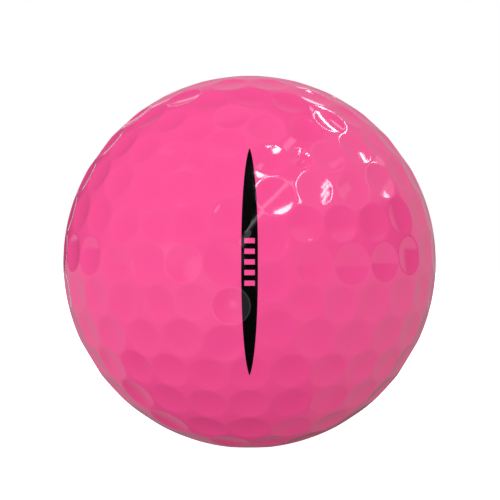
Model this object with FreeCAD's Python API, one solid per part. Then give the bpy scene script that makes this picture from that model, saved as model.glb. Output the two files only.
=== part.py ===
"""Two-piece golf ball: rubber core, dimpled cover in two half cups, printed alignment stripe.

Millimetres. The origin is the centre of the ball and +Z is up. The alignment stripe faces -Y
and runs along Z. The two half cups of the cover meet on the flat seam Z = 0.
"""
import FreeCAD, Part
import math
import os

# ---------------------------------------------------------------- driving dimensions
BALL_DIAMETER = 42.67
COVER_THICKNESS = 1.60

DIMPLE_DEPTH = 0.23         # from the ball's sphere down to the middle of the dimple
LAND_WIDTH = 0.13           # narrowest land between two dimples
SMALLEST_DIMPLE = 2.4       # diameters
LARGEST_DIMPLE = 4.6

# Dimple rows round the vertical axis: latitude in degrees, dimples, phase as part of a pitch,
# and how many degrees higher the row runs after its first and after its second rise.
DIMPLE_ROWS = (
    (81.0, 5, 0.0, 0.0, 0.0),
    (69.5, 11, 0.5, 0.0, 1.0),
    (55.5, 17, 0.0, 2.5, 5.0),
    (43.0, 24, 0.5, 4.0, 8.0),
    (31.4, 26, 0.0, 5.0, 7.5),
    (20.2, 27, 0.5, 3.2, 6.8),
    (10.2, 28, 0.0, 1.4, 4.6),
    (-0.8, 30, 0.5, 1.0, 3.6),
    (-11.4, 28, 0.0, 0.0, 2.6),
    (-22.0, 26, 0.5, 0.0, 1.5),
    (-32.8, 26, 0.0, 1.0, 1.6),
    (-45.2, 21, 0.0, 2.5, 2.7),
    (-58.0, 15, 0.0, 2.0, 2.5),
    (-70.0, 10, 0.5, 1.0, 1.5),
    (-81.5, 4, 0.0, 0.0, 0.0),
)
FIRST_RISE = (25.0, 45.0)   # longitudes from the front or the back between which a row rises
SECOND_RISE = (44.0, 59.0)

# Two staggered columns of dimples flank the stripe, on the front and on the back. Degrees.
COLUMN_PITCH = 12.6
COLUMN_OFFSET = 7.3
COLUMN_STEPS = range(-2, 4)
COLUMN_TOP = 40.0
CLEAR_BAND = 13.2           # half-width of the band that the columns fill instead of the rows
CLEAR_BAND_BOTTOM = -30.0
FILLER_LONGITUDE = 17.0     # smaller dimples beside the columns: latitude, share of full size
FILLERS = ((31.0, 0.55), (10.5, 0.9), (-10.5, 0.9))

# Neighbouring dimples closer than this are eased apart, which evens out the lands. Degrees.
DIMPLE_SPACING = 11.8
NEIGHBOUR_REACH = 1.5       # dimples further apart than this many spacings are left alone
EASING_ROUNDS = 120
EASING_PUSH = 0.3
EASING_PULL = 0.05
GROWING_ROUNDS = 80
GROWING_STEP = 0.05

# Alignment stripe: a spindle of ink with five plain ticks left open in its middle. Its half-width
# falls with the share of the half-length, as (1 - share ** STRIPE_BELLY) ** STRIPE_BLUNTNESS.
STRIPE_LENGTH = 23.7
STRIPE_WIDTH = 1.70
STRIPE_BELLY = 2.5
STRIPE_BLUNTNESS = 0.7
STRIPE_SHARES = (0.0, 0.25, 0.45, 0.62, 0.75, 0.85, 0.92, 0.965, 0.99)
INK_THICKNESS = 0.05
TICK_COUNT = 5
TICK_PITCH = 1.09
TICK_WIDTH = 1.10
TICK_HEIGHT = 0.55

# ---------------------------------------------------------------- derived dimensions
BALL_RADIUS = BALL_DIAMETER / 2.0
CORE_RADIUS = BALL_RADIUS - COVER_THICKNESS
ORIGIN = FreeCAD.Vector(0, 0, 0)
UP = FreeCAD.Vector(0, 0, 1)
DOWN = FreeCAD.Vector(0, 0, -1)
SIDEWAYS = FreeCAD.Vector(0, 1, 0)
SKIN = 0.01                 # how far a dimple tool reaches above the ball's sphere
PRISM_START = -0.5 * BALL_RADIUS    # the stripe's outline is pushed from here along -Y
PRISM_LENGTH = BALL_RADIUS


# ---------------------------------------------------------------- dimple layout
def direction(longitude, latitude):
    """Unit vector; longitude 0 is the middle of the front (-Y), positive towards +X."""
    lon = math.radians(longitude)
    lat = math.radians(latitude)
    x = math.cos(lat) * math.sin(lon)
    y = -math.cos(lat) * math.cos(lon)
    return (x, y, math.sin(lat))


def in_clear_band(point, latitude):
    """True where the columns beside the stripe replace the rows."""
    side_angle = abs(math.degrees(math.asin(point[0])))
    return side_angle < CLEAR_BAND and CLEAR_BAND_BOTTOM < latitude < COLUMN_TOP


def rise(longitude, ends):
    """0 near the front and the back, 1 at the sides, with a smooth rise between the two ends."""
    start, end = (math.sin(math.radians(angle)) for angle in ends)
    share = (abs(math.sin(math.radians(longitude))) - start) / (end - start)
    share = min(max(share, 0.0), 1.0)
    return share * share * (3.0 - 2.0 * share)


def row_seeds():
    """Dimple centres of the rows, all of full size."""
    seeds = []
    for latitude, count, phase, first_lift, second_lift in DIMPLE_ROWS:
        for k in range(count):
            longitude = (k + phase) * 360.0 / count
            lift = first_lift * rise(longitude, FIRST_RISE)
            lift += (second_lift - first_lift) * rise(longitude, SECOND_RISE)
            point = direction(longitude, latitude + lift)
            if not in_clear_band(point, latitude):
                seeds.append((point, 1.0))
    return seeds


def column_seeds(turn, side):
    """One column beside the stripe with its smaller fillers."""
    seeds = []
    stagger = 0.5 if side > 0 else 0.0
    for k in COLUMN_STEPS:
        latitude = COLUMN_PITCH * (k + stagger)
        if latitude > COLUMN_TOP:
            continue
        sine = math.sin(math.radians(COLUMN_OFFSET)) / math.cos(math.radians(latitude))
        longitude = side * math.degrees(math.asin(sine))
        seeds.append((direction(turn + longitude, latitude), 1.0))
    for latitude, size in FILLERS:
        seeds.append((direction(turn + side * FILLER_LONGITUDE, latitude), size))
    return seeds


def ease_apart(seeds):
    """Push crowded neighbours apart while a light pull holds each one near its own place."""
    home = [seed[0] for seed in seeds]
    points = list(home)
    total = len(points)
    spacing = math.radians(DIMPLE_SPACING)
    pairs = []
    for i in range(total):
        for j in range(i):
            if math.dist(points[i], points[j]) < NEIGHBOUR_REACH * spacing:
                pairs.append((i, j, spacing * (seeds[i][1] + seeds[j][1]) / 2.0))
    for _ in range(EASING_ROUNDS):
        step = [[EASING_PULL * (h - p) for h, p in zip(home[i], points[i])] for i in range(total)]
        for i, j, wanted in pairs:
            distance = math.dist(points[i], points[j])
            if distance >= wanted:
                continue
            push = EASING_PUSH * (wanted - distance) / distance
            for axis in range(3):
                shift = push * (points[i][axis] - points[j][axis])
                step[i][axis] += shift
                step[j][axis] -= shift
        moved = []
        for point, change in zip(points, step):
            raw = [p + c for p, c in zip(point, change)]
            length = math.hypot(*raw)
            moved.append(tuple(c / length for c in raw))
        points = moved
    return points


def grow_dimples(points, sizes):
    """Angular radius of each dimple: all grow together until only the land is left between."""
    smallest = math.degrees(math.asin(SMALLEST_DIMPLE / BALL_DIAMETER))
    largest = math.degrees(math.asin(LARGEST_DIMPLE / BALL_DIAMETER))
    land = math.degrees(LAND_WIDTH / BALL_RADIUS)
    total = len(points)
    neighbours = []
    for i in range(total):
        near = []
        for j in range(total):
            apart = math.degrees(2.0 * math.asin(min(1.0, math.dist(points[i], points[j]) / 2.0)))
            if j != i and apart < 2.0 * largest + land:
                near.append((j, apart))
        neighbours.append(near)
    radii = [smallest] * total
    for _ in range(GROWING_ROUNDS):
        for i in range(total):
            room = min([apart - radii[j] - land for j, apart in neighbours[i]] + [largest * sizes[i]])
            radii[i] = min(radii[i] + GROWING_STEP, room)
    return radii


def dimple_layout():
    """List of (unit vector, angular radius in degrees), one entry per dimple."""
    seeds = row_seeds()
    for turn in (0.0, 180.0):
        for side in (1.0, -1.0):
            seeds.extend(column_seeds(turn, side))
    points = ease_apart(seeds)
    sizes = [size for point, size in seeds]
    return list(zip(points, grow_dimples(points, sizes)))


# ---------------------------------------------------------------- dimple tools
def cap_sphere(angular_radius):
    """Radius and centre distance of the sphere whose cap forms a dimple."""
    half_chord = BALL_RADIUS * math.sin(math.radians(angular_radius))
    rim_height = BALL_RADIUS * math.cos(math.radians(angular_radius))
    sagitta = rim_height - (BALL_RADIUS - DIMPLE_DEPTH)
    radius = (half_chord ** 2 + sagitta ** 2) / (2.0 * sagitta)
    return radius, BALL_RADIUS - DIMPLE_DEPTH + radius


def lens(cap_radius, cap_centre, top_radius):
    """Lens round +Z between the dimple's cap sphere and a sphere round the origin.

    Both spheres have their poles along Y and their seams towards +X, well clear of the lens.
    """
    cap = Part.makeSphere(cap_radius, FreeCAD.Vector(0, 0, cap_centre), SIDEWAYS)
    crown = Part.makeSphere(top_radius, ORIGIN, SIDEWAYS)
    return cap.common(crown)


def aimed(shape, point):
    """Copy of a shape made round +Z, turned to face a point on the ball."""
    turned = shape.copy()
    turn = FreeCAD.Rotation(UP, FreeCAD.Vector(*point))
    turned.Placement = FreeCAD.Placement(ORIGIN, turn)
    return turned


def dimple_tools(layout, cap_shrink, top_radius):
    """One lens per dimple; cap_shrink lifts its floor and top_radius sets its crown."""
    tools = []
    for point, angular_radius in layout:
        radius, centre = cap_sphere(angular_radius)
        tools.append(aimed(lens(radius - cap_shrink, centre, top_radius), point))
    return tools


# ---------------------------------------------------------------- pieces
def make_core():
    """Solid rubber core that fills the cover."""
    return Part.makeSphere(CORE_RADIUS)


def make_half_cup(axis, layout):
    """Half of the cover with its dimples; axis points to the middle of the half."""
    outer = Part.makeSphere(BALL_RADIUS, ORIGIN, axis, 0, 90, 360)
    inner = Part.makeSphere(CORE_RADIUS)
    own = []
    for point, angular_radius in layout:
        height = FreeCAD.Vector(*point).dot(axis) * BALL_RADIUS
        if height > -LARGEST_DIMPLE / 2.0 - LAND_WIDTH:
            own.append((point, angular_radius))
    tools = dimple_tools(own, 0.0, BALL_RADIUS + SKIN)
    return outer.cut(inner).cut(tools)


def stripe_side(side):
    """Curved edge of the stripe from its lower to its upper tip; side is 1 for right, -1 for left."""
    tip = STRIPE_LENGTH / 2.0
    upper = []
    for share in STRIPE_SHARES:
        half_width = STRIPE_WIDTH / 2.0 * (1.0 - share ** STRIPE_BELLY) ** STRIPE_BLUNTNESS
        upper.append(FreeCAD.Vector(side * half_width, PRISM_START, share * tip))
    upper.append(FreeCAD.Vector(0, PRISM_START, tip))
    lower = [FreeCAD.Vector(point.x, point.y, -point.z) for point in reversed(upper[1:])]
    curve = Part.BSplineCurve()
    curve.interpolate(lower + upper)
    return curve.toShape()


def stripe_prism():
    """Spindle outline of the stripe, its ticks cut out, pushed through the front of the ball."""
    outline = Part.Wire([stripe_side(1), stripe_side(-1)])
    prism = Part.Face(outline).extrude(FreeCAD.Vector(0, -PRISM_LENGTH, 0))
    ticks = []
    for k in range(TICK_COUNT):
        middle = (k - (TICK_COUNT - 1) / 2.0) * TICK_PITCH
        corner = FreeCAD.Vector(
            -TICK_WIDTH / 2.0,
            PRISM_START - PRISM_LENGTH,
            middle - TICK_HEIGHT / 2.0,
        )
        ticks.append(Part.makeBox(TICK_WIDTH, PRISM_LENGTH, TICK_HEIGHT, corner))
    return prism.cut(ticks)


def make_stripe(layout):
    """Ink film of even thickness that follows the lands and the dimples under it."""
    prism = stripe_prism()
    near = []
    for point, angular_radius in layout:
        across = abs(point[0]) * BALL_RADIUS
        along = abs(point[2]) * BALL_RADIUS
        beside = across < (STRIPE_WIDTH + LARGEST_DIMPLE) / 2.0
        within = along < (STRIPE_LENGTH + LARGEST_DIMPLE) / 2.0
        if point[1] < 0 and beside and within:
            near.append((point, angular_radius))
    crown = BALL_RADIUS + INK_THICKNESS
    ink_top = Part.makeSphere(crown).cut(dimple_tools(near, INK_THICKNESS, crown + SKIN))
    ground = Part.makeSphere(BALL_RADIUS).cut(dimple_tools(near, 0.0, BALL_RADIUS + SKIN))
    return prism.common(ink_top).cut(ground)


def main():
    os.makedirs("parts", exist_ok=True)
    layout = dimple_layout()
    pieces = {
        "core": make_core(),
        "cover_upper_half": make_half_cup(UP, layout),
        "cover_lower_half": make_half_cup(DOWN, layout),
        "alignment_stripe": make_stripe(layout),
    }
    for name, shape in pieces.items():
        solid = shape.Solids[0] if len(shape.Solids) == 1 else shape
        print(name, len(shape.Solids), shape.isValid(), round(shape.Volume, 2), len(shape.Faces))
        solid.exportStep("parts/" + name + ".step")


main()
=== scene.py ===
"""Looks of the golf ball: glossy pink dimpled cover, black alignment stripe, rubber core.

Metres. The ball's centre is the origin, +Z is up and the stripe faces -Y.
"""

import math

import bpy
import numpy as np
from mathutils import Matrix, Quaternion, Vector


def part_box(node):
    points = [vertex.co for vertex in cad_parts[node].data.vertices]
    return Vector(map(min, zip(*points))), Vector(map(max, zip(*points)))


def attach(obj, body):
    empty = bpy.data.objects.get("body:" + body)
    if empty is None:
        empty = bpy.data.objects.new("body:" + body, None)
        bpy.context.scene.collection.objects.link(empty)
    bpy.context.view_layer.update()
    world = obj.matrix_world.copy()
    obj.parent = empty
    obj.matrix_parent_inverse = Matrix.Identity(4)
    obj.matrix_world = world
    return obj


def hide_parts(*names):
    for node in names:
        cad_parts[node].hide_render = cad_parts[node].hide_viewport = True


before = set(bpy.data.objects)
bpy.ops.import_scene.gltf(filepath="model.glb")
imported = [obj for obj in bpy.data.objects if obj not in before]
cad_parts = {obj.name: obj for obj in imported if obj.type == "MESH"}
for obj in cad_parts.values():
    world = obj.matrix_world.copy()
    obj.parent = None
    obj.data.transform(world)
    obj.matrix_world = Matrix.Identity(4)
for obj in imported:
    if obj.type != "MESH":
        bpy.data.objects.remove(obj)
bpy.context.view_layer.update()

# ---------------------------------------------------------------- sizes, metres and degrees
MM = 0.001
BALL_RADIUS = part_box("cover_upper_half")[1][2]
CORE_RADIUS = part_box("core")[1][2]

DIMPLE_DEPTH = 0.23 * MM
LAND_WIDTH = 0.13 * MM
SMALLEST_DIMPLE = 2.4 * MM
LARGEST_DIMPLE = 4.6 * MM
RIM_BLEND = 0.045 * MM      # how far the rims are rounded, as a height difference

# Dimple rows round the vertical axis: latitude, dimples, phase as part of a pitch, and how many
# degrees higher the row runs after its first and after its second rise.
DIMPLE_ROWS = (
    (81.0, 5, 0.0, 0.0, 0.0),
    (69.5, 11, 0.5, 0.0, 1.0),
    (55.5, 17, 0.0, 2.5, 5.0),
    (43.0, 24, 0.5, 4.0, 8.0),
    (31.4, 26, 0.0, 5.0, 7.5),
    (20.2, 27, 0.5, 3.2, 6.8),
    (10.2, 28, 0.0, 1.4, 4.6),
    (-0.8, 30, 0.5, 1.0, 3.6),
    (-11.4, 28, 0.0, 0.0, 2.6),
    (-22.0, 26, 0.5, 0.0, 1.5),
    (-32.8, 26, 0.0, 1.0, 1.6),
    (-45.2, 21, 0.0, 2.5, 2.7),
    (-58.0, 15, 0.0, 2.0, 2.5),
    (-70.0, 10, 0.5, 1.0, 1.5),
    (-81.5, 4, 0.0, 0.0, 0.0),
)
FIRST_RISE = (25.0, 45.0)   # longitudes from the front or the back between which a row rises
SECOND_RISE = (44.0, 59.0)
COLUMN_PITCH = 12.6
COLUMN_OFFSET = 7.3
COLUMN_STEPS = range(-2, 4)
COLUMN_TOP = 40.0
CLEAR_BAND = 13.2
CLEAR_BAND_BOTTOM = -30.0
FILLER_LONGITUDE = 17.0     # smaller dimples beside the columns: latitude, share of full size
FILLERS = ((31.0, 0.55), (10.5, 0.9), (-10.5, 0.9))
DIMPLE_SPACING = 11.8
NEIGHBOUR_REACH = 1.5
RIM_MARGIN = 1.2            # how far past its rim a dimple still counts, where rims are rounded
EASING_ROUNDS = 120
EASING_PUSH = 0.3
EASING_PULL = 0.05
GROWING_ROUNDS = 80
GROWING_STEP = 0.05

STRIPE_LENGTH = 23.7 * MM
STRIPE_WIDTH = 1.70 * MM
STRIPE_BELLY = 2.5          # the stripe's half-width falls towards its tips, with the share of its
STRIPE_BLUNTNESS = 0.7      # half-length, as (1 - share ** belly) ** bluntness
INK_PROUD = 0.02 * MM       # ink surface above the pink
INK_ROOT = 0.03 * MM        # how deep the film's underside sits
TICK_COUNT = 5
TICK_PITCH = 1.09 * MM
TICK_WIDTH = 1.10 * MM
TICK_HEIGHT = 0.55 * MM

GRID = 220                  # mesh steps along a quarter of the ball's circumference
INNER_STEP = 10             # outer mesh steps to one step of the cup's inside
STRIPE_ROWS_PER_TICK = 4    # mesh rows in a tick, and in the ink between two ticks
STRIPE_TIP_ROWS = 70
STRIPE_MIDDLE_COLUMNS = 8
STRIPE_EDGE_COLUMNS = 3
NORMAL_STEP = 2e-4          # radians between the surface points that give a normal
DEPTH_ROUNDS = 4            # rounds that settle how deep a point of the stripe lies

CAMERA_DISTANCE = 9.0 * BALL_RADIUS
BALL_SHARE = 0.745          # ball's width as a share of the picture's
SHIFT_X = 0.0009
SHIFT_Y = 0.0238
SENSOR_WIDTH = 36.0         # millimetres

# ---------------------------------------------------------------- finishes
# Noise scales are cells per metre.
COVER_LOW = (0.955, 0.087, 0.312)       # pink at the bottom of a dimple
COVER_HIGH = (0.96, 0.092, 0.320)       # pink on the lands
COVER_CLOUD = (0.98, 0.93, 0.96, 1.0)   # tint of its faint clouds
CLOUD_SCALE = 260.0
PEEL_SCALE = 900.0
PEEL_DEPTH = 0.01 * MM
PEEL_STRENGTH = 0.25
GLOSS_RANGE = (0.05, 0.09)              # roughness of the clear coat
COAT_IOR = 1.5
INK_DARK = (0.0008, 0.0008, 0.001)
INK_PALE = (0.0025, 0.0025, 0.003)
INK_SCREEN_SCALE = 2500.0
RUBBER_SPECK = (0.30, 0.22, 0.12)
RUBBER_PLAIN = (0.62, 0.55, 0.42)
RUBBER_SCALE = 1400.0
RUBBER_SPECK_ENDS = (0.36, 0.52)        # noise values at which specks end and plain rubber begins
RUBBER_GRAIN = 0.05 * MM
RUBBER_GRAIN_STRENGTH = 0.4
RUBBER_ROUGHNESS = 0.75
PAPER_SCALE = 300.0
PAPER_DARK = (0.60, 0.60, 0.60)
PAPER_PALE = (0.64, 0.64, 0.64)
PAPER_ROUGHNESS = 0.9

# ---------------------------------------------------------------- studio, seen from the ball
STUDIO_RADIUS = 0.6
FLOOR_REACH = 3.0
LAMP_POWER = 4.0            # watts per square metre of lamp for a radiance of 1
KEY_DIRECTION = (-0.400, -0.750, 0.527)
DOME_FRONT = 1.30           # brightness of the dome on the key side
DOME_BACK = (0.19, 0.035, 0.057)    # colour of its far side, as shares of that
FLOOR_GLOW = 1.0

# What the gloss shows of the room besides the softboxes: side glows with a floor horizon.
ROOM_DARK = 0.03
HORIZON = 0.0
RIGHT_SIDE = (100.0, -5.0)
RIGHT_GLOW = 0.58
LEFT_SIDE = (-125.0, -10.0)
LEFT_GLOW = 0.38
SHELF_GLOW = 0.45
CEILING_GLOW = 0.22

# Where those glows begin and end, as parts of a unit direction; a pair runs from none to full.
RIGHT_FADE = 0.17
RIGHT_FOOT = (-0.94, -0.80)
BACK_WALL = (0.42, 0.52)
BACK_WALL_TOP = (0.80, 0.62)
LEFT_FADE = 0.35
LEFT_FOOT = (-0.68, -0.45)
SHELF_SIDE = (0.35, 0.60)
SHELF_FOOT = (0.36, 0.44)
SHELF_TOP = (0.92, 0.86)
CEILING_EDGE = (0.95, 0.975)

# Round soft spots: azimuth, elevation, radius of the full part, radius of the edge, brightness.
SPOTS = (
    (-32.0, -20.0, 14.0, 28.0, 0.38),
    (-48.0, 2.0, 3.5, 12.0, 0.80),
    (-70.0, -16.0, 20.0, 45.0, 0.22),
    (-14.0, -27.0, 1.0, 5.0, 1.20),
    (165.0, 22.0, 18.0, 40.0, 0.36),
)

# Name, azimuth, elevation, width, height, radiance, roll. Angles in degrees; azimuth 0 is the
# camera's side, positive to its right.
SOFTBOXES = (
    ("window_front", 10.3, 53.0, 5.5, 4.5, 20.0, 20.0),
    ("window_low", 13.5, 46.5, 12.0, 3.5, 16.0, 25.0),
    ("strip_front", 12.5, 33.0, 42.0, 1.8, 2.2, 45.0),
    ("strip_low", -3.5, 12.0, 14.0, 3.5, 0.9, 55.0),
    ("slat_low", 37.5, 36.5, 11.0, 1.5, 13.0, 40.0),
    ("slat_middle", 40.5, 41.3, 12.0, 1.5, 15.0, 40.0),
    ("slat_high", 44.0, 46.2, 11.0, 1.5, 13.0, 40.0),
    ("skylight", 54.0, 68.0, 14.0, 3.0, 1.4, 20.0),
    ("window_back", 132.0, 49.0, 27.0, 2.0, 12.0, 0.0),
    ("window_far", 138.0, 55.5, 12.0, 2.0, 2.0, 0.0),
    ("lamp_right", 113.0, 34.5, 4.0, 2.5, 6.0, 0.0),
    ("shelf_low", 103.0, 34.5, 40.0, 4.0, 0.5, 0.0),
    ("shelf_high", 74.0, 58.5, 22.0, 4.0, 0.5, 0.0),
    ("lamp_back", 167.0, 31.5, 5.0, 4.0, 1.5, 0.0),
    ("strip_back_left", -163.0, 18.0, 2.0, 44.0, 0.7, 0.0),
    ("lamp_left", -62.0, 50.0, 18.0, 5.0, 0.25, 0.0),
)


# ---------------------------------------------------------------- dimple layout
def direction(longitude, latitude):
    """Unit vector; longitude 0 is the middle of the front (-Y), positive towards +X."""
    lon = math.radians(longitude)
    lat = math.radians(latitude)
    x = math.cos(lat) * math.sin(lon)
    y = -math.cos(lat) * math.cos(lon)
    return (x, y, math.sin(lat))


def in_clear_band(point, latitude):
    """True where the columns beside the stripe replace the rows."""
    side_angle = abs(math.degrees(math.asin(point[0])))
    return side_angle < CLEAR_BAND and CLEAR_BAND_BOTTOM < latitude < COLUMN_TOP


def rise(longitude, ends):
    """0 near the front and the back, 1 at the sides, with a smooth rise between the two ends."""
    start, end = (math.sin(math.radians(angle)) for angle in ends)
    share = (abs(math.sin(math.radians(longitude))) - start) / (end - start)
    share = min(max(share, 0.0), 1.0)
    return share * share * (3.0 - 2.0 * share)


def row_seeds():
    """Dimple centres of the rows, all of full size."""
    seeds = []
    for latitude, count, phase, first_lift, second_lift in DIMPLE_ROWS:
        for k in range(count):
            longitude = (k + phase) * 360.0 / count
            lift = first_lift * rise(longitude, FIRST_RISE)
            lift += (second_lift - first_lift) * rise(longitude, SECOND_RISE)
            point = direction(longitude, latitude + lift)
            if not in_clear_band(point, latitude):
                seeds.append((point, 1.0))
    return seeds


def column_seeds(turn, side):
    """One column beside the stripe with its smaller fillers."""
    seeds = []
    stagger = 0.5 if side > 0 else 0.0
    for k in COLUMN_STEPS:
        latitude = COLUMN_PITCH * (k + stagger)
        if latitude > COLUMN_TOP:
            continue
        sine = math.sin(math.radians(COLUMN_OFFSET)) / math.cos(math.radians(latitude))
        longitude = side * math.degrees(math.asin(sine))
        seeds.append((direction(turn + longitude, latitude), 1.0))
    for latitude, size in FILLERS:
        seeds.append((direction(turn + side * FILLER_LONGITUDE, latitude), size))
    return seeds


def ease_apart(home, sizes):
    """Push crowded neighbours apart while a light pull holds each one near its own place."""
    points = home.copy()
    spacing = math.radians(DIMPLE_SPACING)
    wanted = spacing * (sizes[:, None] + sizes[None, :]) / 2.0
    apart = np.linalg.norm(points[:, None] - points[None, :], axis=2)
    neighbours = (apart < NEIGHBOUR_REACH * spacing) & (apart > 0.0)
    for _ in range(EASING_ROUNDS):
        gaps = points[:, None] - points[None, :]
        distance = np.linalg.norm(gaps, axis=2)
        distance[distance == 0.0] = 1.0
        push = np.where(neighbours & (distance < wanted), EASING_PUSH * (wanted - distance) / distance, 0.0)
        step = EASING_PULL * (home - points) + (gaps * push[:, :, None]).sum(axis=1)
        points = points + step
        points /= np.linalg.norm(points, axis=1)[:, None]
    return points


def grow_dimples(points, sizes):
    """Angular radius of each dimple: all grow together until only the land is left between."""
    smallest = math.degrees(math.asin(SMALLEST_DIMPLE / 2.0 / BALL_RADIUS))
    largest = math.degrees(math.asin(LARGEST_DIMPLE / 2.0 / BALL_RADIUS))
    land = math.degrees(LAND_WIDTH / BALL_RADIUS)
    chords = np.linalg.norm(points[:, None] - points[None, :], axis=2)
    apart = np.degrees(2.0 * np.arcsin(np.minimum(1.0, chords / 2.0)))
    np.fill_diagonal(apart, 180.0)
    radii = np.full(len(points), smallest)
    for _ in range(GROWING_ROUNDS):
        for i in range(len(points)):
            room = (apart[i] - radii).min() - land
            radii[i] = min(radii[i] + GROWING_STEP, room, largest * sizes[i])
    return radii


def dimple_layout():
    """List of (unit vector, angular radius in radians), one entry per dimple."""
    seeds = row_seeds()
    for turn in (0.0, 180.0):
        for side in (1.0, -1.0):
            seeds.extend(column_seeds(turn, side))
    sizes = np.array([size for point, size in seeds])
    points = ease_apart(np.array([point for point, size in seeds]), sizes)
    return list(zip(points, np.radians(grow_dimples(points, sizes))))


DIMPLES = dimple_layout()


# ---------------------------------------------------------------- ball surface
def soft_minimum(a, b, blend):
    """Smaller of the two, with a rounded changeover where they differ by less than blend."""
    overlap = np.maximum(blend - np.abs(a - b), 0.0) / blend
    return np.minimum(a, b) - overlap ** 2 * blend / 4.0


def surface_radius(directions):
    """Distance from the ball's centre to its surface along unit vectors."""
    radius = np.full(len(directions), BALL_RADIUS)
    for centre, reach in DIMPLES:
        half_chord = BALL_RADIUS * math.sin(reach)
        sagitta = BALL_RADIUS * math.cos(reach) - (BALL_RADIUS - DIMPLE_DEPTH)
        cap = (half_chord ** 2 + sagitta ** 2) / (2.0 * sagitta)
        cap_distance = BALL_RADIUS - DIMPLE_DEPTH + cap
        cosine = directions @ centre
        near = np.nonzero(cosine > math.cos(reach + math.radians(RIM_MARGIN)))[0]
        along = cap_distance * cosine[near]
        across = cap_distance ** 2 - along ** 2
        floor = along - np.sqrt(np.maximum(cap ** 2 - across, 0.0))
        radius[near] = soft_minimum(radius[near], floor, RIM_BLEND)
    return radius


def tangents(directions):
    """Two unit vectors square to each direction and to each other."""
    helper = np.zeros_like(directions)
    flat = np.abs(directions[:, 2]) < 0.7
    helper[flat, 2] = 1.0
    helper[~flat, 0] = 1.0
    first = np.cross(helper, directions)
    first /= np.linalg.norm(first, axis=1)[:, None]
    return first, np.cross(directions, first)


def surface_normals(directions, radius):
    """Outward unit normals of the dimpled surface."""
    first, second = tangents(directions)
    base = directions * radius[:, None]
    edges = []
    for side in (first, second):
        moved = directions + side * NORMAL_STEP
        moved /= np.linalg.norm(moved, axis=1)[:, None]
        edges.append(moved * surface_radius(moved)[:, None] - base)
    normals = np.cross(edges[0], edges[1])
    return normals / np.linalg.norm(normals, axis=1)[:, None]


def drawn_to_rims(directions, step_angle):
    """Slide points that lie close to a dimple's rim onto it, so that the mesh follows the rims."""
    moved = directions.copy()
    for centre, reach in DIMPLES:
        cosine = directions @ centre
        angle = np.arccos(np.clip(cosine, -1.0, 1.0))
        near = (np.abs(angle - reach) < 0.5 * step_angle) & (np.abs(directions[:, 2]) > 1e-9)
        side = directions[near] - centre * cosine[near][:, None]
        side /= np.linalg.norm(side, axis=1)[:, None]
        moved[near] = centre * math.cos(reach) + side * math.sin(reach)
    return moved


# ---------------------------------------------------------------- meshes
def object_from(name, vertices, faces, corner_normals=None):
    """New mesh object; corner_normals holds one normal per face corner."""
    mesh = bpy.data.meshes.new(name)
    mesh.from_pydata([tuple(v) for v in vertices], [], faces)
    mesh.polygons.foreach_set("use_smooth", [True] * len(mesh.polygons))
    mesh.update()
    if corner_normals is not None:
        mesh.normals_split_custom_set(corner_normals)
    piece = bpy.data.objects.new(name, mesh)
    bpy.context.scene.collection.objects.link(piece)
    return piece


def half_sphere_grid(steps):
    """Directions and triangles of an even grid over the half with z >= 0.

    The grid is the upper half of an octahedron pulled onto the sphere. The last item returned is
    the loop of vertices along z = 0, counter-clockwise seen from above.
    """
    index = {}
    directions = []

    def vertex(x, y, z):
        if (x, y, z) not in index:
            index[(x, y, z)] = len(directions)
            directions.append([math.sin(0.5 * math.pi * c / steps) for c in (x, y, z)])
        return index[(x, y, z)]

    faces = []
    for sx, sy in ((1, 1), (-1, 1), (-1, -1), (1, -1)):
        for i in range(steps):
            for j in range(steps - i):
                corners = [
                    vertex(sx * i, sy * j, steps - i - j),
                    vertex(sx * (i + 1), sy * j, steps - i - j - 1),
                    vertex(sx * i, sy * (j + 1), steps - i - j - 1),
                ]
                faces.append(corners if sx * sy > 0 else corners[::-1])
                if i + j < steps - 1:
                    far = vertex(sx * (i + 1), sy * (j + 1), steps - i - j - 2)
                    corners = [corners[1], far, corners[2]]
                    faces.append(corners if sx * sy > 0 else corners[::-1])
    loop = []
    for x0, y0, x1, y1 in ((1, 0, 0, 1), (0, 1, -1, 0), (-1, 0, 0, -1), (0, -1, 1, 0)):
        for k in range(steps):
            loop.append(vertex(x0 * (steps - k) + x1 * k, y0 * (steps - k) + y1 * k, 0))
    directions = np.array(directions)
    return directions / np.linalg.norm(directions, axis=1)[:, None], faces, loop


def half_cup(name, node, sign):
    """One half of the cover as a closed shell; sign is 1 for the upper half, -1 for the lower."""
    mirror = np.array([1.0, 1.0, sign])
    outer, outer_faces, outer_loop = half_sphere_grid(GRID)
    outer = drawn_to_rims(outer * mirror, 0.5 * math.pi / GRID)
    radius = surface_radius(outer)
    outer_normals = surface_normals(outer, radius)
    inner, inner_faces, inner_loop = half_sphere_grid(GRID // INNER_STEP)
    inner = inner * mirror
    offset = len(outer)

    vertices = np.vstack([outer * radius[:, None], inner * CORE_RADIUS])
    faces = [list(face) for face in outer_faces]
    normals = [outer_normals[face] for face in outer_faces]
    for face in inner_faces:
        faces.append([offset + v for v in reversed(face)])
        normals.append(-inner[face[::-1]])
    seam_normal = np.array([0.0, 0.0, -sign])
    for k in range(len(inner_loop)):
        start = k * INNER_STEP
        rim = [outer_loop[(start + s) % len(outer_loop)] for s in range(INNER_STEP, -1, -1)]
        after = (k + 1) % len(inner_loop)
        faces.append(rim + [offset + inner_loop[k], offset + inner_loop[after]])
        normals.append(np.tile(seam_normal, (len(faces[-1]), 1)))
    if sign < 0:
        faces = [face[::-1] for face in faces]
        normals = [corner[::-1] for corner in normals]
    piece = object_from(name, vertices, faces, np.concatenate(normals).tolist())
    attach(piece, "root")
    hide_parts(node)
    return piece


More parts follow.
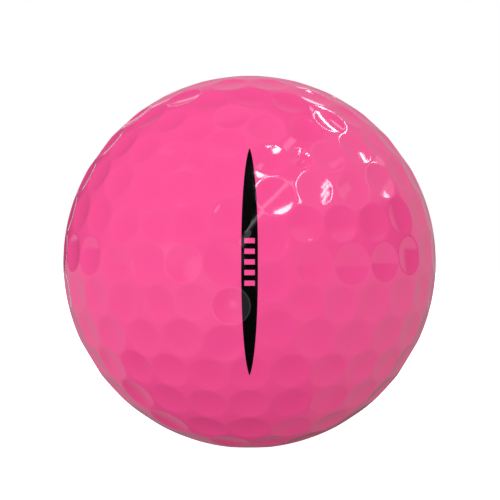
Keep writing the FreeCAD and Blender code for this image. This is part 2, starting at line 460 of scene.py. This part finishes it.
def stripe_heights():
    """Heights of the stripe's mesh rows, from tip to tip, with rows on every tick's edges."""
    half_tick = TICK_HEIGHT / 2.0
    edges = []
    for k in range(TICK_COUNT):
        centre = (k - (TICK_COUNT - 1) / 2.0) * TICK_PITCH
        edges.extend([centre - half_tick, centre + half_tick])
    middle = []
    for low, high in zip(edges[:-1], edges[1:]):
        middle.extend(np.linspace(low, high, STRIPE_ROWS_PER_TICK, endpoint=False))
    tip = STRIPE_LENGTH / 2.0
    upper = edges[-1] + (tip - edges[-1]) * np.sin(np.linspace(0.0, 0.5 * math.pi, STRIPE_TIP_ROWS))
    return np.concatenate([-upper[::-1][:-1], middle, upper])


def stripe_half_width(height):
    """Half-width of the spindle, which keeps its width for long and ends in blunt tips."""
    share = min(abs(height) / (STRIPE_LENGTH / 2.0), 1.0)
    return STRIPE_WIDTH / 2.0 * (1.0 - share ** STRIPE_BELLY) ** STRIPE_BLUNTNESS


def stripe_columns(height):
    """Places across the stripe at one height: left edge, tick opening, right edge."""
    half = stripe_half_width(height)
    span = TICK_PITCH * TICK_COUNT / 2.0
    opening = min(TICK_WIDTH / 2.0, half * TICK_WIDTH / 2.0 / stripe_half_width(span))
    left = np.linspace(-half, -opening, STRIPE_EDGE_COLUMNS, endpoint=False)
    middle = np.linspace(-opening, opening, STRIPE_MIDDLE_COLUMNS, endpoint=False)
    right = np.linspace(opening, half, STRIPE_EDGE_COLUMNS + 1)
    return np.concatenate([left, middle, right])


def on_front(x, z, lift):
    """Points of the ball's front at the places (x, z), lifted square to the surface."""
    depth = np.sqrt(BALL_RADIUS ** 2 - x ** 2 - z ** 2)
    for _ in range(DEPTH_ROUNDS):
        points = np.stack([x, -depth, z], axis=1)
        directions = points / np.linalg.norm(points, axis=1)[:, None]
        radius = surface_radius(directions)
        depth = np.sqrt(radius ** 2 - x ** 2 - z ** 2)
    normals = surface_normals(directions, radius)
    return directions * radius[:, None] + normals * lift, normals


def in_tick(x, z):
    """True inside one of the plain ticks left open in the ink."""
    if abs(x) > TICK_WIDTH / 2.0:
        return False
    for k in range(TICK_COUNT):
        if abs(z - (k - (TICK_COUNT - 1) / 2.0) * TICK_PITCH) < TICK_HEIGHT / 2.0:
            return True
    return False


def ink_stripe():
    """The printed stripe: a closed film that follows lands and dimples, with its ticks open."""
    heights = stripe_heights()
    columns = [stripe_columns(z) for z in heights]
    across = len(columns[0])
    x = np.concatenate(columns)
    z = np.repeat(heights, across)
    top, top_normals = on_front(x, z, INK_PROUD)
    root, _ = on_front(x, z, -INK_ROOT)
    total = len(x)
    cells = []
    for row in range(len(heights) - 1):
        for col in range(across - 1):
            a = row * across + col
            cell = [a, a + 1, a + across + 1, a + across]
            if not in_tick(x[cell].mean(), z[cell].mean()):
                cells.append(cell)
    border = {}
    for cell in cells:
        for k in range(4):
            edge = (cell[k], cell[(k + 1) % 4])
            if edge[::-1] in border:
                del border[edge[::-1]]
            else:
                border[edge] = True
    faces = [list(cell) for cell in cells]
    normals = [top_normals[cell] for cell in cells]
    for cell in cells:
        faces.append([total + v for v in reversed(cell)])
        normals.append(-top_normals[cell[::-1]])
    vertices = np.vstack([top, root])
    for a, b in border:
        faces.append([b, a, total + a, total + b])
        wall = np.cross(vertices[a] - vertices[b], top_normals[a])
        wall /= max(np.linalg.norm(wall), 1e-12)
        normals.append(np.tile(wall, (4, 1)))
    piece = object_from("ink_stripe", vertices, faces, np.concatenate(normals).tolist())
    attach(piece, "root")
    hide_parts("alignment_stripe")
    return piece


# ---------------------------------------------------------------- materials
def new_material(name):
    """Empty node material; returns it with its nodes, links and Principled shader."""
    material = bpy.data.materials.new(name)
    material.use_nodes = True
    nodes = material.node_tree.nodes
    return material, nodes, material.node_tree.links, nodes["Principled BSDF"]


def add_node(nodes, kind, **inputs):
    """New node with some of its inputs set by name."""
    node = nodes.new(kind)
    for key, value in inputs.items():
        node.inputs[key].default_value = value
    return node


def noise(nodes, links, coordinates, scale, detail):
    """Noise texture in object coordinates."""
    node = add_node(nodes, "ShaderNodeTexNoise", Scale=scale, Detail=detail)
    links.new(coordinates.outputs["Object"], node.inputs["Vector"])
    return node


def colour_ramp(nodes, links, factor, low, high, low_at=0.0, high_at=1.0):
    """Two-colour ramp driven by a value."""
    ramp = nodes.new("ShaderNodeValToRGB")
    for element, place, colour in zip(ramp.color_ramp.elements, (low_at, high_at), (low, high)):
        element.position = place
        element.color = (*colour, 1.0)
    links.new(factor, ramp.inputs["Fac"])
    return ramp.outputs["Color"]


def value_range(nodes, links, value, low, high, low_out=0.0, high_out=1.0, kind="LINEAR"):
    """Value brought from one range to another and held at its ends."""
    node = nodes.new("ShaderNodeMapRange")
    node.interpolation_type = kind
    node.inputs["From Min"].default_value = low
    node.inputs["From Max"].default_value = high
    node.inputs["To Min"].default_value = low_out
    node.inputs["To Max"].default_value = high_out
    links.new(value, node.inputs["Value"])
    return node.outputs["Result"]


def height_above_floor(nodes, links, coordinates):
    """0 at the bottom of a dimple and 1 on the lands, from the distance to the ball's centre."""
    length = nodes.new("ShaderNodeVectorMath")
    length.operation = "LENGTH"
    links.new(coordinates.outputs["Object"], length.inputs[0])
    return value_range(nodes, links, length.outputs["Value"], BALL_RADIUS - DIMPLE_DEPTH, BALL_RADIUS)


def add_clear_coat(nodes, links, coordinates, shader, pattern):
    """Gloss that a pattern varies a little, and the very fine waviness of a sprayed coat."""
    gloss = value_range(nodes, links, pattern.outputs["Fac"], 0.0, 1.0, *GLOSS_RANGE)
    links.new(gloss, shader.inputs["Roughness"])
    shader.inputs["IOR"].default_value = COAT_IOR
    peel = noise(nodes, links, coordinates, PEEL_SCALE, detail=2.0)
    bump = add_node(nodes, "ShaderNodeBump", Strength=PEEL_STRENGTH, Distance=PEEL_DEPTH)
    links.new(peel.outputs["Fac"], bump.inputs["Height"])
    links.new(bump.outputs["Normal"], shader.inputs["Normal"])


def cover_material():
    """Glossy pink cover: pigment a little deeper where it gathers in the dimples."""
    material, nodes, links, shader = new_material("pink_cover")
    coordinates = nodes.new("ShaderNodeTexCoord")
    height = height_above_floor(nodes, links, coordinates)
    pigment = colour_ramp(nodes, links, height, COVER_LOW, COVER_HIGH)
    cloud = noise(nodes, links, coordinates, CLOUD_SCALE, detail=3.0)
    tint = nodes.new("ShaderNodeMix")
    tint.data_type = "RGBA"
    tint.blend_type = "MULTIPLY"
    tint.inputs["B"].default_value = COVER_CLOUD
    links.new(cloud.outputs["Fac"], tint.inputs["Factor"])
    links.new(pigment, tint.inputs["A"])
    links.new(tint.outputs["Result"], shader.inputs["Base Color"])
    add_clear_coat(nodes, links, coordinates, shader, cloud)
    return material


def ink_material():
    """Black pad-printed ink under the same clear coat."""
    material, nodes, links, shader = new_material("black_ink")
    coordinates = nodes.new("ShaderNodeTexCoord")
    screen = noise(nodes, links, coordinates, INK_SCREEN_SCALE, detail=2.0)
    ink = colour_ramp(nodes, links, screen.outputs["Fac"], INK_DARK, INK_PALE)
    links.new(ink, shader.inputs["Base Color"])
    add_clear_coat(nodes, links, coordinates, shader, screen)
    return material


def core_material():
    """Cross-linked rubber: tan, matt, with darker filler specks and a moulded grain."""
    material, nodes, links, shader = new_material("core_rubber")
    coordinates = nodes.new("ShaderNodeTexCoord")
    specks = noise(nodes, links, coordinates, RUBBER_SCALE, detail=4.0)
    rubber = colour_ramp(nodes, links, specks.outputs["Fac"], RUBBER_SPECK, RUBBER_PLAIN, *RUBBER_SPECK_ENDS)
    links.new(rubber, shader.inputs["Base Color"])
    shader.inputs["Roughness"].default_value = RUBBER_ROUGHNESS
    bump = add_node(nodes, "ShaderNodeBump", Strength=RUBBER_GRAIN_STRENGTH, Distance=RUBBER_GRAIN)
    links.new(specks.outputs["Fac"], bump.inputs["Height"])
    links.new(bump.outputs["Normal"], shader.inputs["Normal"])
    return material


def floor_material():
    """Matt studio paper, lit through from below so that it stays white."""
    material, nodes, links, shader = new_material("studio_paper")
    coordinates = nodes.new("ShaderNodeTexCoord")
    grain = noise(nodes, links, coordinates, PAPER_SCALE, detail=3.0)
    paper = colour_ramp(nodes, links, grain.outputs["Fac"], PAPER_DARK, PAPER_PALE)
    links.new(paper, shader.inputs["Base Color"])
    shader.inputs["Roughness"].default_value = PAPER_ROUGHNESS
    shader.inputs["Specular IOR Level"].default_value = 0.0
    shader.inputs["Emission Color"].default_value = (1.0, 1.0, 1.0, 1.0)
    shader.inputs["Emission Strength"].default_value = FLOOR_GLOW
    return material


def paint(piece, material):
    """Give every material slot of a piece one material."""
    if not piece.material_slots:
        piece.data.materials.append(material)
    for slot in piece.material_slots:
        slot.link = "OBJECT"
        slot.material = material


# ---------------------------------------------------------------- studio
def studio_floor():
    """Large white floor just under the ball; it lights nothing and shows in no reflection."""
    level = -BALL_RADIUS
    corners = [(x * FLOOR_REACH, y * FLOOR_REACH, level) for x, y in ((-1, -1), (1, -1), (1, 1), (-1, 1))]
    floor = object_from("floor", corners, [[0, 1, 2, 3]])
    floor.visible_glossy = False
    floor.visible_diffuse = False
    return floor


def toward(azimuth, elevation):
    """Unit vector; azimuth 0 is the camera's side (-Y), positive towards +X."""
    return Vector(direction(azimuth, elevation))


def softbox(name, azimuth, elevation, width, height, radiance, roll):
    """Glowing rectangle that shows only in reflections; sizes and roll in degrees."""
    data = bpy.data.lights.new(name, "AREA")
    data.shape = "RECTANGLE"
    data.size = 2.0 * STUDIO_RADIUS * math.tan(math.radians(width / 2.0))
    data.size_y = 2.0 * STUDIO_RADIUS * math.tan(math.radians(height / 2.0))
    data.energy = LAMP_POWER * radiance * data.size * data.size_y
    light = bpy.data.objects.new(name, data)
    place = toward(azimuth, elevation)
    light.location = place * STUDIO_RADIUS
    light.rotation_mode = "QUATERNION"
    aim = (-place).to_track_quat("-Z", "Y")
    light.rotation_quaternion = aim @ Quaternion((0.0, 0.0, 1.0), math.radians(roll))
    light.visible_camera = False
    light.visible_diffuse = False
    bpy.context.scene.collection.objects.link(light)


def along(nodes, links, sky, axis):
    """How far a direction of the sky points along an axis, from -1 to 1."""
    node = nodes.new("ShaderNodeVectorMath")
    node.operation = "DOT_PRODUCT"
    node.inputs[1].default_value = axis
    links.new(sky.outputs["Generated"], node.inputs[0])
    return node.outputs["Value"]


def combine(nodes, links, operation, first, second):
    """Two values, or a value and a number, put together."""
    node = nodes.new("ShaderNodeMath")
    node.operation = operation
    links.new(first, node.inputs[0])
    if isinstance(second, float):
        node.inputs[1].default_value = second
    else:
        links.new(second, node.inputs[1])
    return node.outputs["Value"]


def product(nodes, links, first, *others):
    """All the values multiplied."""
    for other in others:
        first = combine(nodes, links, "MULTIPLY", first, other)
    return first


def soft_spot(nodes, links, sky, azimuth, elevation, full, edge, brightness):
    """Round patch of the sky, even in the middle and fading to nothing at its edge."""
    nearness = along(nodes, links, sky, toward(azimuth, elevation))
    ends = (math.cos(math.radians(edge)), math.cos(math.radians(full)))
    return value_range(nodes, links, nearness, *ends, 0.0, brightness, "SMOOTHSTEP")


def mirrored_room(nodes, links, sky):
    """Brightness of the room as the gloss shows it: dark, with pale walls and floor at the sides."""
    across = along(nodes, links, sky, (1.0, 0.0, 0.0))
    behind = along(nodes, links, sky, (0.0, 1.0, 0.0))
    height = along(nodes, links, sky, (0.0, 0.0, 1.0))
    below = combine(nodes, links, "LESS_THAN", height, HORIZON)

    right = along(nodes, links, sky, toward(*RIGHT_SIDE))
    right = value_range(nodes, links, right, RIGHT_FADE, 1.0, 0.0, RIGHT_GLOW)
    foot = value_range(nodes, links, height, *RIGHT_FOOT)
    wall = value_range(nodes, links, behind, *BACK_WALL, kind="SMOOTHSTEP")
    wall_top = value_range(nodes, links, height, *BACK_WALL_TOP)
    wall = combine(nodes, links, "MAXIMUM", below, product(nodes, links, wall, wall_top))
    right = product(nodes, links, right, foot, wall)

    left = along(nodes, links, sky, toward(*LEFT_SIDE))
    left = value_range(nodes, links, left, LEFT_FADE, 1.0, 0.0, LEFT_GLOW)
    foot = value_range(nodes, links, height, *LEFT_FOOT, kind="SMOOTHSTEP")
    left = product(nodes, links, left, foot, below)

    shelf = value_range(nodes, links, across, *SHELF_SIDE, 0.0, SHELF_GLOW, "SMOOTHSTEP")
    shelf_foot = value_range(nodes, links, height, *SHELF_FOOT)
    shelf_top = value_range(nodes, links, height, *SHELF_TOP)
    shelf = product(nodes, links, shelf, shelf_foot, shelf_top)

    ceiling = value_range(nodes, links, height, *CEILING_EDGE, 0.0, CEILING_GLOW, "SMOOTHSTEP")

    room = right
    spots = [soft_spot(nodes, links, sky, *spot) for spot in SPOTS]
    for part in (left, shelf, ceiling, *spots):
        room = combine(nodes, links, "MAXIMUM", room, part)
    return combine(nodes, links, "ADD", room, ROOM_DARK)


def mix_colours(nodes, links, factor, first, second):
    """Colour that goes from the first to the second as the factor goes from 0 to 1."""
    node = nodes.new("ShaderNodeMix")
    node.data_type = "RGBA"
    links.new(factor, node.inputs["Factor"])
    for name, colour in (("A", first), ("B", second)):
        socket = [s for s in node.inputs if s.name == name and s.type == "RGBA"][0]
        if isinstance(colour, tuple):
            socket.default_value = (*colour, 1.0)
        else:
            links.new(colour, socket)
    return [s for s in node.outputs if s.type == "RGBA"][0]


def studio_room():
    """White to the camera, a soft dome of light to matt surfaces, a darker room to glossy ones."""
    world = bpy.data.worlds.new("studio")
    world.use_nodes = True
    nodes = world.node_tree.nodes
    links = world.node_tree.links
    sky = nodes.new("ShaderNodeTexCoord")
    rays = nodes.new("ShaderNodeLightPath")
    white = (1.0, 1.0, 1.0)
    key = value_range(nodes, links, along(nodes, links, sky, KEY_DIRECTION), -1.0, 1.0)
    dome = mix_colours(nodes, links, key, DOME_BACK, white)
    colour = mix_colours(nodes, links, rays.outputs["Is Diffuse Ray"], white, dome)
    links.new(colour, nodes["Background"].inputs["Color"])
    light = nodes.new("ShaderNodeMix")
    light.inputs["A"].default_value = DOME_FRONT
    links.new(rays.outputs["Is Glossy Ray"], light.inputs["Factor"])
    links.new(mirrored_room(nodes, links, sky), light.inputs["B"])
    seen = nodes.new("ShaderNodeMix")
    seen.inputs["B"].default_value = 1.0
    links.new(rays.outputs["Is Camera Ray"], seen.inputs["Factor"])
    links.new(light.outputs["Result"], seen.inputs["A"])
    links.new(seen.outputs["Result"], nodes["Background"].inputs["Strength"])
    bpy.context.scene.world = world


def studio_softboxes():
    """Windows, shelves and lamps that the gloss picks up, mostly at the upper right."""
    for place in SOFTBOXES:
        softbox(*place)


def studio_camera():
    """Level camera in front of the stripe, framed so that the ball fills its share of the picture."""
    data = bpy.data.cameras.new("camera")
    tangent = 1.0 / math.sqrt((CAMERA_DISTANCE / BALL_RADIUS) ** 2 - 1.0)
    data.sensor_width = SENSOR_WIDTH
    data.lens = SENSOR_WIDTH / 2.0 * BALL_SHARE / tangent
    data.shift_x = SHIFT_X
    data.shift_y = SHIFT_Y
    camera = bpy.data.objects.new("camera", data)
    camera.location = (0.0, -CAMERA_DISTANCE, 0.0)
    camera.rotation_euler = (math.pi / 2.0, 0.0, 0.0)
    bpy.context.scene.collection.objects.link(camera)
    bpy.context.scene.camera = camera


# ---------------------------------------------------------------- scene
cover = cover_material()
paint(half_cup("cover_shell_upper", "cover_upper_half", 1), cover)
paint(half_cup("cover_shell_lower", "cover_lower_half", -1), cover)
paint(ink_stripe(), ink_material())
paint(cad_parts["core"], core_material())
paint(studio_floor(), floor_material())
studio_softboxes()
studio_room()
studio_camera()
bpy.context.scene.view_settings.view_transform = "Standard"
